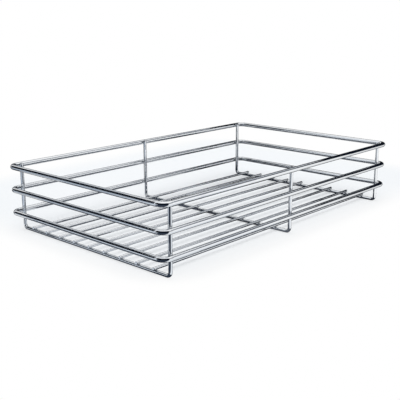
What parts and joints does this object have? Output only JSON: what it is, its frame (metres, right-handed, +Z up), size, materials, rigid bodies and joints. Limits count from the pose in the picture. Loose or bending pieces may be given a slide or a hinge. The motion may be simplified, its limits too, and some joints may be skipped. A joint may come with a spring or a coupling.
{
  "type": "pull-out cabinet basket",
  "caption": "Shallow rectangular chrome wire basket for a pull-out cabinet frame: rounded rings welded round U-shaped hoops, with straight wires as the floor.",
  "frame": {"origin": "middle of the footprint, on the surface that the undersides of the hoops stand on", "axes": "+X along the basket's length, +Y across it, +Z up"},
  "size_m": [0.507, 0.307, 0.0955],
  "materials": {
    "ring_chrome": "bright polished chrome plate on thick steel wire",
    "hoop_chrome": "bright polished chrome plate on steel wire, drawn lines faint along the wire",
    "floor_chrome": "bright chrome plate on thin steel wire",
    "weld_chrome": "chrome plate over rough weld metal, duller than the wire"
  },
  "bodies": {
    "root": {"top_ring": "ring_chrome", "middle_ring": "ring_chrome", "lower_ring": "ring_chrome", "left_hoop": "hoop_chrome", "middle_hoop": "hoop_chrome", "right_hoop": "hoop_chrome", "floor_wire_1": "floor_chrome", "floor_wire_2": "floor_chrome", "floor_wire_3": "floor_chrome", "floor_wire_4": "floor_chrome", "floor_wire_5": "floor_chrome", "floor_wire_6": "floor_chrome", "floor_wire_7": "floor_chrome", "floor_wire_8": "floor_chrome", "floor_wire_9": "floor_chrome", "top_ring_welds": "weld_chrome", "middle_ring_welds": "weld_chrome", "lower_ring_welds": "weld_chrome", "left_floor_welds": "weld_chrome", "middle_floor_welds": "weld_chrome", "right_floor_welds": "weld_chrome"}
  },
  "joints": []
}
